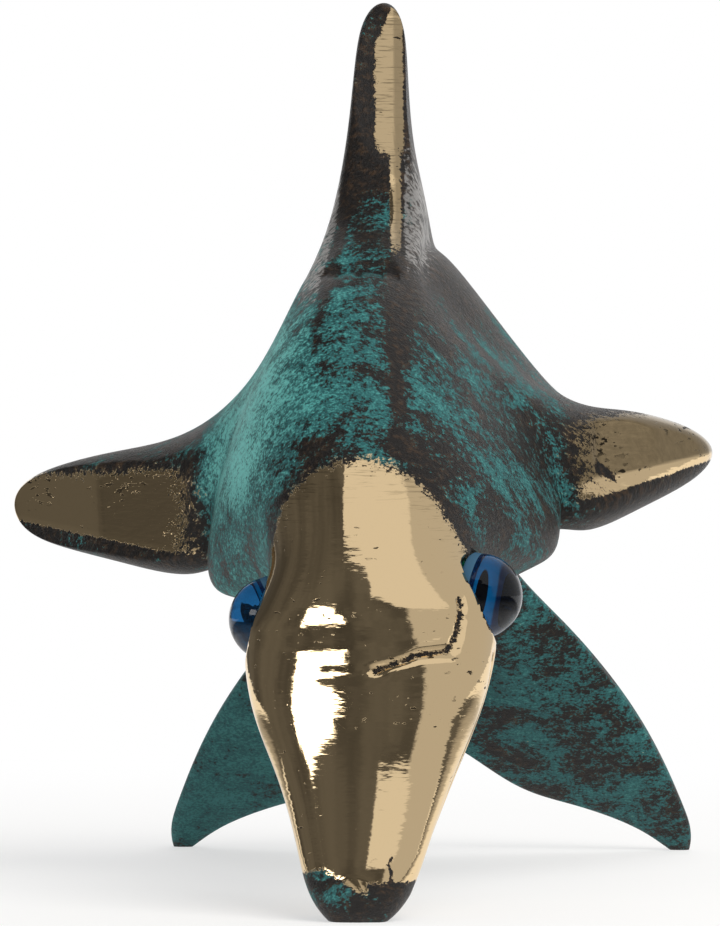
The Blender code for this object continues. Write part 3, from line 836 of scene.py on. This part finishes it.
class Wires:
    """Short calls for the nodes and links of one node tree."""

    def __init__(self, tree):
        self.tree = tree

    def feed(self, socket, value):
        """Sets a socket to a number or colour, or links it to an output."""
        if isinstance(value, Value):
            self.tree.links.new(value.socket, socket)
        else:
            socket.default_value = value

    def node(self, kind, inputs, output=0, **settings):
        """One output of a new node, whose inputs are given by their names or numbers."""
        node = self.tree.nodes.new(kind)
        for key, value in settings.items():
            setattr(node, key, value)
        for key, value in inputs.items():
            self.feed(node.inputs[key], value)
        return Value(self, node.outputs[output])

    def maths(self, operation, *values):
        """A Math node on outputs or numbers."""
        return self.node("ShaderNodeMath", dict(enumerate(values)), operation=operation)

    def most(self, *values):
        """The greater of two."""
        return self.maths("MAXIMUM", *values)

    def mask(self, name, output="Fac"):
        """A mask or vector laid on the mesh."""
        return self.node("ShaderNodeAttribute", {}, output, attribute_name=name)

    def noise(self, vector, scale, detail, rough=0.5, warp=0.0):
        """Noise, mostly between 0.3 and 0.7."""
        inputs = {"Vector": vector, "Scale": scale, "Detail": detail, "Roughness": rough, "Distortion": warp}
        return self.node("ShaderNodeTexNoise", inputs, "Fac")

    def step(self, value, low, high, to_low=0.0, to_high=1.0):
        """From to_low where the value is low to to_high where it is high, eased at both."""
        inputs = {"Value": value, "From Min": low, "From Max": high, "To Min": to_low, "To Max": to_high}
        return self.node("ShaderNodeMapRange", inputs, "Result", interpolation_type="SMOOTHSTEP")

    def blend(self, share, one, two, kind="FLOAT"):
        """A number between two, by a share."""
        return self.node("ShaderNodeMix", {"Factor": share, "A": one, "B": two}, "Result", data_type=kind)

    def mix(self, share, one, two):
        """A colour between two, by a share."""
        ends = (end if isinstance(end, Value) else (*end, 1) for end in (one, two))
        return self.blend(share, *ends, "RGBA")

    def place(self, scale=(1, 1, 1)):
        """Object coordinates, stretched."""
        where = self.node("ShaderNodeTexCoord", {}, "Object")
        return self.node("ShaderNodeMapping", {"Vector": where, "Scale": scale})

    def parts(self, vector):
        """The three numbers of a vector."""
        return [self.node("ShaderNodeSeparateXYZ", {0: vector}, axis) for axis in "XYZ"]

    def ray(self, kind):
        """1 for rays of a kind."""
        return self.node("ShaderNodeLightPath", {}, f"Is {kind} Ray")


def gauss(value, middle, reach):
    """exp(-((value - middle) / reach)^2)."""
    return np.exp(-(((value - middle) / reach) ** 2))


def line(value, at, height, slope):
    """height + slope (value - at)."""
    return height + slope * (value - at)


def coordinates(points, shape):
    """Places of the points as the masks count them, by name: x, y, z and out = |x| of the upright
    figure, high over the floor, left of the fin's slanted middle, and along the spine. Rim = RIM_ARC -
    along - RIM_BOW (x - RIM_X)^4 + RIM_SLOPE (up - RIM_UP) is how far a point lies in front of the
    bare face's bowed edge. The rest are distances past such lines and the filed planes."""
    x, y, z = upright(points, shape).T
    _, along, up = grain_lines(points, shape)
    high = points[:, 2]
    left = points[:, 0] + FIN_SLANT * points[:, 1]
    on_left = x > 0
    rim = RIM_ARC - along - RIM_BOW * (x - RIM_X) ** 4 + RIM_SLOPE * (up - RIM_UP)
    tip = TIP_HIGH + TIP_RISE * smoothstep(*TIP_RIGHT, points[:, 0]) + TIP_RISE * gauss(left, *TONGUE)
    behind_facet, _ = fin_facet(points, shape)
    behind_flat, over_flat = flipper_flat(points, shape)
    over_bare = high - np.where(on_left, *(line(left, *edge) for edge in BARE_LINES))
    return dict(
        x=x, y=y, z=z, out=np.abs(x), high=high, left=left, along=along, rim=rim,
        over_tip=high - tip,
        behind_facet=behind_facet,
        from_taper=left - TAPER * np.maximum(high - TAPER_FROM, 0.0),
        from_arris=np.abs(left - ARRIS_LEFT),
        behind_flat=behind_flat,
        over_flat=over_flat,
        from_root=np.abs(x) - np.where(on_left, *FLIPPER_ROOTS),
        over_bare=over_bare,
        over_painted_highlight=over_bare - np.where(on_left, *(line(left, *band) for band in PAINTED_HIGHLIGHT_LINES)),
        from_lush=left - LUSH_SLOPE * (high - LUSH_FROM),
        from_seam=left - np.interp(high, *RIGHT_SEAM),
    )


def region(name, place):
    """The product of the fades and stripes of a region."""
    share = 1.0
    for key, nothing, full in REGIONS[name]:
        share = share * smoothstep(nothing, full, place[key])
    for key, middle, reach in STRIPES.get(name, ()):
        share = share * gauss(place[key], middle, reach)
    return share


def masks(points, shape):
    """The casting's masks by name. Worn is bare metal: the face, the filed front of the back fin and
    its arris, and the flippers' flats, less the dark paths. Tarnish dulls it, but stops over a band
    along the flippers' lower edges that stays bright as a painted highlight; scored draws brush lines
    on it and pitted pits it. Green is how much verdigris the casting holds, lush and deep how pale and
    how dark it is, and the last mask lays grey metal in streaks beside the back fin as a painted sheen."""
    place = coordinates(points, shape)
    share = {name: region(name, place) for name in REGIONS}
    worn = np.maximum(share["face"], np.maximum(share["fin_flat"], ARRIS_BARE * share["arris"]))
    worn = np.maximum(worn, share["flipper_flat"])
    groove = np.zeros(len(points))
    for path, reach in DARK_PATHS + tuple((mouth_path(sign, shape), DARK_MOUTH) for sign in (1, -1)):
        gap = path_distance(points, on_surface(points, path))
        worn -= DARK_SHARE * gauss(gap, 0.0, reach)
        groove = np.maximum(groove, gauss(gap, 0.0, GROOVE_REACH))
    green = GREEN_BASE + GREEN_GROOVE * groove + sum(GREEN[name] * share[name] for name in GREEN)
    # The band over the flippers' lower edges stays bright bronze as a painted highlight
    dull = share["dull"] * np.where(place["x"] > 0, *FLAT_TARNISH)
    return {
        "worn": worn,
        "tarnish": np.maximum(dull, ARRIS_TARNISH * share["arris_side"]),
        "scored": np.maximum(BROW_SCORES * share["brow"], share["over_back"]),
        "pitted": np.maximum(share["dull"], LEFT_PITS * share["left_side"]),
        "green": green,
        "lush": share["lush"],
        "deep": np.maximum(TAIL_DEEP * share["tail"], MIDDLE_DEEP * share["middle"] - share["lush"]),
        "painted_sheen": SHEEN * (share["right_sheen"] + share["left_sheen"]) * share["sheen_end"],
    }


class DOLPHIN_OT_casting(bpy.types.Operator):
    """Builds the bronze casting over its CAD node"""

    bl_idname = "dolphin.casting"
    bl_label = "Bronze casting"

    def execute(self, context):
        shape = context.scene.dolphin_shape
        points, quads, tris, round_tip = cage(shape)
        points = hand_made(fitted(points, quads, tris, round_tip), shape)
        body = new_object("casting", new_mesh("casting", points, quads.tolist() + tris.tolist()))
        smooth = body.modifiers.new("smooth", "SUBSURF")
        smooth.levels = shape.smoothing
        smooth.render_levels = shape.smoothing
        mesh = made_solid(body)
        points, normals = get_points(mesh)
        points = carved(points, normals, shape)
        put_points(mesh, np.clip(points, *BOX))
        bored = body.modifiers.new("sockets", "BOOLEAN")
        drill = self.drills(shape)
        bored.object = drill
        bored.operation = "DIFFERENCE"
        bored.solver = "EXACT"
        fewer = body.modifiers.new("fewer_facets", "DECIMATE")
        fewer.ratio = FACET_SHARE
        mesh = made_solid(body)
        bpy.data.objects.remove(drill)
        points, _ = get_points(mesh)
        put_points(mesh, np.clip(filed(points, shape), *BOX))
        self.coat(mesh, shape)
        mesh.materials.clear()
        mesh.materials.append(bronze_material(context.scene.dolphin_finish))
        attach(body, "root")
        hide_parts("cast_body")
        return {"FINISHED"}

    def drills(self, shape):
        """The two socket drills as one mesh."""
        radius = shape.eye_radius / MM + GAP
        depth = -EYE_SEAT - GAP
        profile = np.array(((0, depth), (radius, depth), (radius, 2 * radius), (0, 2 * radius)))
        left, faces = turned(profile, EYE_SEGMENTS, eye_place(1, shape))
        right, _ = turned(profile, EYE_SEGMENTS, eye_place(-1, shape))
        more = [[n + len(left) for n in face] for face in faces]
        return new_object("drills", new_mesh("drills", np.concatenate([left, right]), faces + more))

    def coat(self, mesh, shape):
        """Lays the masks on the mesh, and the grain, which is the place along and beside the spine."""
        points, _ = get_points(mesh)
        for name, values in masks(points, shape).items():
            put_mask(mesh, name, values)
        side, along, up = grain_lines(points, shape)
        grain = mesh.attributes.new("grain", "FLOAT_VECTOR", "POINT")
        vectors = np.stack([side * GRAIN_SQUASH, along, up * GRAIN_SQUASH], -1) * MM
        grain.data.foreach_set("vector", vectors.astype(np.float32).ravel())


def bronze_material(finish):
    """Bare metal, oxide, verdigris and grey streaks of painted sheen, laid over each other where a mask
    plus noise passes a threshold. Blotch, flake and fleck are coarse, middle and fine noise along the
    grain. Pits are dark where a noise is lowest, and scores are lines of tarnish along the brushing."""
    mat, shader = shader_material("patinated_bronze", {})
    w = Wires(mat.node_tree)
    grain = w.mask("grain", "Vector")
    blotch = w.noise(grain, 330.0, 4.0, 0.6, 0.4)
    flake = w.noise(grain, 2000.0, 4.0, 0.65, 0.2)
    fleck = w.noise(grain, 5200.0, 3.0, 0.7)
    fine = flake + fleck - 1.0
    ragged = fine * 1.3 + (blotch - 0.5) * 0.5
    bare = w.step(w.mask("worn") + ragged, 0.44, 0.54)

    # Patina: verdigris over brown and black oxide, with grey metal streaks painted as a sheen of light
    cover = (blotch - 0.5) * 1.1 + fine * 0.8 + w.mask("green")
    green = w.step(cover, 0.42, 0.52)
    bright = w.step(cover + (fleck - 0.5) * 0.8, 0.50, 0.95)
    bright = bright * w.step(w.mask("deep"), 0.0, 1.0, 1.0, 0.35)
    thick = w.mix(w.mask("lush"), finish.verdigris, finish.pale_verdigris)
    verdigris = w.mix(bright, finish.deep_verdigris, thick)
    oxide = w.mix(w.step(flake, 0.45, 0.7), finish.black, finish.brown)
    streak = w.noise(w.place((2300.0, 2300.0, 300.0)), 1.0, 3.0, 0.6) - 0.5
    # Streaks of painted sheen, where light glints off the oxide
    shine = w.step(w.mask("painted_sheen") + streak * 1.6, 0.40, 0.75)
    patina = w.mix(shine, w.mix(green, oxide, verdigris), finish.painted_sheen)

    # Bare metal: tarnished, scored along the brushing and pitted
    hole = w.noise(w.place((1.0, 1.0, 2.2)), 1000.0, 2.0) + w.mask("pitted") * -0.085
    pits = w.step(hole, 0.31, 0.27) * w.step(w.noise(w.place(), 150.0, 2.0), 0.46, 0.56)
    brushed = w.noise(w.place((350.0, 350.0, 5200.0)), 1.0, 3.0, 0.6)
    scores = w.mask("scored") * w.step(brushed, 0.53, 0.66)
    tarnish = w.most(w.mask("tarnish") * w.blend(flake, 1.0, 0.7), scores * 0.7)
    metal = w.mix(pits * 0.9, w.mix(tarnish, finish.bronze, finish.tarnished), finish.black)
    w.feed(shader.inputs["Base Color"], w.mix(bare, patina, metal))
    metallic = w.blend(shine, w.blend(green, 0.3, 0.0), 1.0)
    w.feed(shader.inputs["Metallic"], w.blend(bare, metallic, 1.0))
    polish = w.blend(w.mask("tarnish"), 0.05, 0.16)
    crusty = w.blend(shine, w.blend(green, w.blend(fleck, 0.28, 0.5), 0.6), 0.3)
    w.feed(shader.inputs["Roughness"], w.blend(bare, crusty, w.blend(pits, polish, 0.5)))

    # Relief: faint waves of the hand polish, and the crust of the patina
    waves = w.noise(w.place((160.0, 160.0, 420.0)), 1.0, 2.0)
    chatter = w.noise(w.place((600.0, 600.0, 1700.0)), 1.0, 2.0)
    polished = brushed * 0.012 + waves * 0.12 + chatter * 0.07
    crust = cover * 0.5 + fine * 0.5 - 0.35
    relief = w.blend(bare, crust, polished) - pits * bare * 0.2
    bump = {"Distance": 0.0003, "Strength": 0.7, "Height": relief}
    w.feed(shader.inputs["Normal"], w.node("ShaderNodeBump", bump, "Normal"))
    return mat


def eye_lens(radius):
    """Profile of the glass: a short cylinder under a quarter circle, (R cos a, R sin a)."""
    arc = np.radians(np.linspace(0, 90, DOME_STEPS))
    dome = np.stack([radius * np.cos(arc), radius * np.sin(arc)], -1)
    lens = np.concatenate([[(0, -LENS_DEPTH), (radius - LENS_INSET, -LENS_DEPTH)], dome])
    lens[-1, 0] = 0
    return lens


def eye_backing(radius):
    """Profile of the painted backing: a cylinder as deep as the seat, chamfered at its foot and rim."""
    rim = radius - BACKING_INSET
    foot, edge = BACKING_CHAMFERS
    corners = (radius - foot, -EYE_SEAT), (rim, foot - EYE_SEAT), (rim, -edge), (rim - edge, 0.0)
    return np.array(((0, -EYE_SEAT), *corners, (0, 0.0)))


class DOLPHIN_OT_eyes(bpy.types.Operator):
    """Builds the glass eyes with their painted irises"""

    bl_idname = "dolphin.eyes"
    bl_label = "Glass eyes"

    def execute(self, context):
        shape = context.scene.dolphin_shape
        finish = context.scene.dolphin_finish
        glass = glass_material(finish)
        paint = iris_material(finish, shape)
        radius = shape.eye_radius / MM
        for side, sign in (("left", 1), ("right", -1)):
            place = eye_place(sign, shape)
            clear, _ = self.part("eye_glass_" + side, eye_lens(radius), place, glass)
            back, points = self.part("eye_backing_" + side, eye_backing(radius), place, paint)
            from_axis = points - place[0]
            from_axis -= (from_axis @ place[3])[:, None] * place[3]
            put_mask(back.data, "radius", np.linalg.norm(from_axis, axis=1) / radius)
            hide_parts("eye_" + side)
        return {"FINISHED"}

    def part(self, name, profile, place, material):
        """A turned part of an eye, and its points."""
        points, faces = turned(profile, EYE_SEGMENTS, place)
        mesh = new_mesh(name, points, faces)
        mesh.set_sharp_from_angle(angle=math.radians(EYE_CREASE))
        mesh.materials.append(material)
        piece = new_object(name, mesh)
        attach(piece, "root")
        return piece, points


def glass_material(finish):
    """Clear tinted glass."""
    values = {"Base Color": (*finish.glass, 1), "Roughness": 0.0, "IOR": 1.4, "Transmission Weight": 1.0}
    return shader_material("clear_glass", values)[0]


def iris_material(finish, shape):
    """Blue paint round a black pupil and inside a dark rim of painted shade, which stands for the dark that
    the edge of the glass dome shows, by the distance from the eye's axis.
    """
    mat, shader = shader_material("blue_iris", {"Roughness": 1.0, "Specular IOR Level": 0.0})
    w = Wires(mat.node_tree)
    radius = w.mask("radius")
    share = shape.pupil_share
    outside_pupil = w.step(radius, share - PUPIL_EDGE, share + PUPIL_EDGE)
    # The dark rim is painted shade
    paint = w.mix(w.step(radius, *PAINTED_SHADE_RIM), finish.iris, finish.iris_rim_painted_shade)
    w.feed(shader.inputs["Base Color"], w.mix(outside_pupil, finish.pupil, paint))
    return mat


class DOLPHIN_OT_studio(bpy.types.Operator):
    """Builds the floor, the lamps and the camera"""

    bl_idname = "dolphin.studio"
    bl_label = "Studio"

    def execute(self, context):
        studio = context.scene.dolphin_studio
        self.floor(context.scene.dolphin_finish)
        self.world(context.scene, studio)
        self.camera(context.scene, studio)
        self.lamp(studio.softbox, *SOFTBOX)
        self.lamp(studio.fill, *REAR_LAMP)
        context.scene.view_settings.view_transform = "Standard"
        return {"FINISHED"}

    def floor(self, finish):
        """A round sheet, (R cos a, R sin a, 0). For the camera, glass and metal it glows white away
        from the figurine, and the metal mirrors it dark in front."""
        angle = np.linspace(0, 2 * math.pi, FLOOR_SIDES, endpoint=False)
        edge = np.stack([FLOOR_RADIUS * np.cos(angle), FLOOR_RADIUS * np.sin(angle), 0 * angle], -1)
        number = np.arange(FLOOR_SIDES)
        faces = np.stack([number, np.roll(number, -1), np.full(FLOOR_SIDES, FLOOR_SIDES)], -1)
        mesh = new_mesh("floor", np.concatenate([edge, [(0, 0, 0)]]), faces.tolist())
        floor = new_object("floor", mesh)
        mat, shader = shader_material("pale_floor", {"Roughness": 0.7})
        w = Wires(mat.node_tree)
        here = w.place()
        mottle = w.mix(w.noise(here, 8.0, 4.0), finish.floor, finish.floor_mottle)
        w.feed(shader.inputs["Base Color"], mottle)
        far = w.node("ShaderNodeVectorMath", {0: here}, "Value", operation="LENGTH")
        glossy = w.ray("Glossy")
        seen = w.most(w.most(w.ray("Camera"), w.ray("Transmission")), glossy)
        front = w.step(w.parts(here)[1], *FLOOR_FRONT_Y) * w.step(far, *FLOOR_FRONT_FAR)
        shade = w.step(front * glossy, 0.0, 1.0, 1.0, FLOOR_MIRRORED)
        glow = w.node("ShaderNodeEmission", {"Strength": shade})
        layers = {0: seen * w.step(far, *FLOOR_FAR), 1: Value(w, shader.outputs[0]), 2: glow}
        out = next(node for node in mat.node_tree.nodes if node.type == "OUTPUT_MATERIAL")
        w.feed(out.inputs["Surface"], w.node("ShaderNodeMixShader", layers))
        mesh.materials.append(mat)

    def world(self, scene, studio):
        """White for the camera and through glass, and a plain level for soft light. Glossy rays see a
        room: the brightest of a rear wall, a side wall, a panel over the camera, a window and the dark.
        Turn = atan2(x, -y) + wobble and rise = asin z of the ray's direction."""
        world = bpy.data.worlds.new("studio_room")
        scene.world = world
        world.use_nodes = True
        w = Wires(world.node_tree)
        back = world.node_tree.nodes["Background"]
        back.inputs["Color"].default_value = (1, 1, 1, 1)
        direction = w.node("ShaderNodeTexCoord", {}, "Generated")
        x, y, z = w.parts(direction)
        turn = w.maths("DEGREES", w.maths("ARCTAN2", x, y * -1.0))
        rise = w.maths("DEGREES", w.maths("ARCSINE", z))
        turn = turn + (w.noise(direction, 7.0, 3.0, 0.6) - 0.5) * ROOM_WOBBLE
        behind = w.step(y, *REAR_WALL_Y)
        side = w.step(turn, *SIDE_WALL_TURN, 0.0, studio.side)
        panel = w.step(turn - w.step(rise, *PANEL_NEAR), *PANEL_SOFT) * w.step(turn, *PANEL_FAR_TURN)
        foot = w.step(rise - w.step(turn, *PANEL_FOOT), *PANEL_SOFT)
        panel = panel * foot * studio.panel
        near = w.step(turn - w.step(rise, *WINDOW_NEAR), *WINDOW_SOFT)
        window = w.step(turn, *WINDOW_FAR_TURN) * near
        window = window * (w.step(rise, *WINDOW_FOOT_RISE) * w.step(rise, *WINDOW_TOP_RISE)) * studio.window
        lit = w.most(w.most(behind, side), w.most(panel, window))
        gloom = w.step(w.noise(direction, 2.5, 3.0), *GLOOM) * studio.dark
        level = w.blend(w.ray("Glossy"), studio.room, w.most(lit, gloom))
        seen = w.most(w.ray("Camera"), w.ray("Transmission"))
        w.feed(back.inputs["Strength"], w.most(seen, level))

    def camera(self, scene, studio):
        """A level camera at distance D and yaw a: (D sin a, -D cos a, height), turned to look back."""
        data = bpy.data.cameras.new("camera")
        camera = new_object("camera", data)
        data.lens = studio.focal
        data.clip_start = 0.01
        yaw, distance = studio.yaw, studio.distance
        x = CAMERA_ASIDE + distance * math.sin(yaw)
        camera.location = (x, -distance * math.cos(yaw), studio.height)
        camera.rotation_euler = (math.pi / 2, 0, yaw)
        scene.camera = camera

    def lamp(self, power, name, place, size, tint):
        """A rectangular lamp that looks at the figurine."""
        data = bpy.data.lights.new(name, "AREA")
        data.shape = "RECTANGLE"
        data.size, data.size_y = size
        data.energy = power
        data.color = tint
        lamp = new_object(name, data)
        lamp.visible_glossy = False
        lamp.location = place
        lamp.rotation_euler = (LAMP_AIM - Vector(place)).to_track_quat("-Z", "Y").to_euler()


class DOLPHIN_PT_panel(bpy.types.Panel):
    """Shows the sizes, colours and studio settings of the figurine, and the buttons that build it"""

    bl_idname = "DOLPHIN_PT_panel"
    bl_label = "Dolphin figurine"
    bl_space_type = "VIEW_3D"
    bl_region_type = "UI"
    bl_category = "Dolphin"

    def draw(self, context):
        for name, kind in GROUPS:
            group = getattr(context.scene, name)
            box = self.layout.box()
            for key in kind.__annotations__:
                box.prop(group, key)
        for operator in OPERATORS:
            self.layout.operator(operator.bl_idname)


GROUPS = (
    ("dolphin_shape", DolphinShape),
    ("dolphin_finish", DolphinFinish),
    ("dolphin_studio", DolphinStudio),
)
OPERATORS = (DOLPHIN_OT_casting, DOLPHIN_OT_eyes, DOLPHIN_OT_studio)


def register():
    for name, group in GROUPS:
        bpy.utils.register_class(group)
        setattr(bpy.types.Scene, name, bpy.props.PointerProperty(type=group))
    for operator in OPERATORS:
        bpy.utils.register_class(operator)
    bpy.utils.register_class(DOLPHIN_PT_panel)


def unregister():
    bpy.utils.unregister_class(DOLPHIN_PT_panel)
    for operator in reversed(OPERATORS):
        bpy.utils.unregister_class(operator)
    for name, group in reversed(GROUPS):
        delattr(bpy.types.Scene, name)
        bpy.utils.unregister_class(group)


def main():
    register()
    bpy.ops.dolphin.casting()
    bpy.ops.dolphin.eyes()
    bpy.ops.dolphin.studio()


if __name__ == "__main__":
    main()
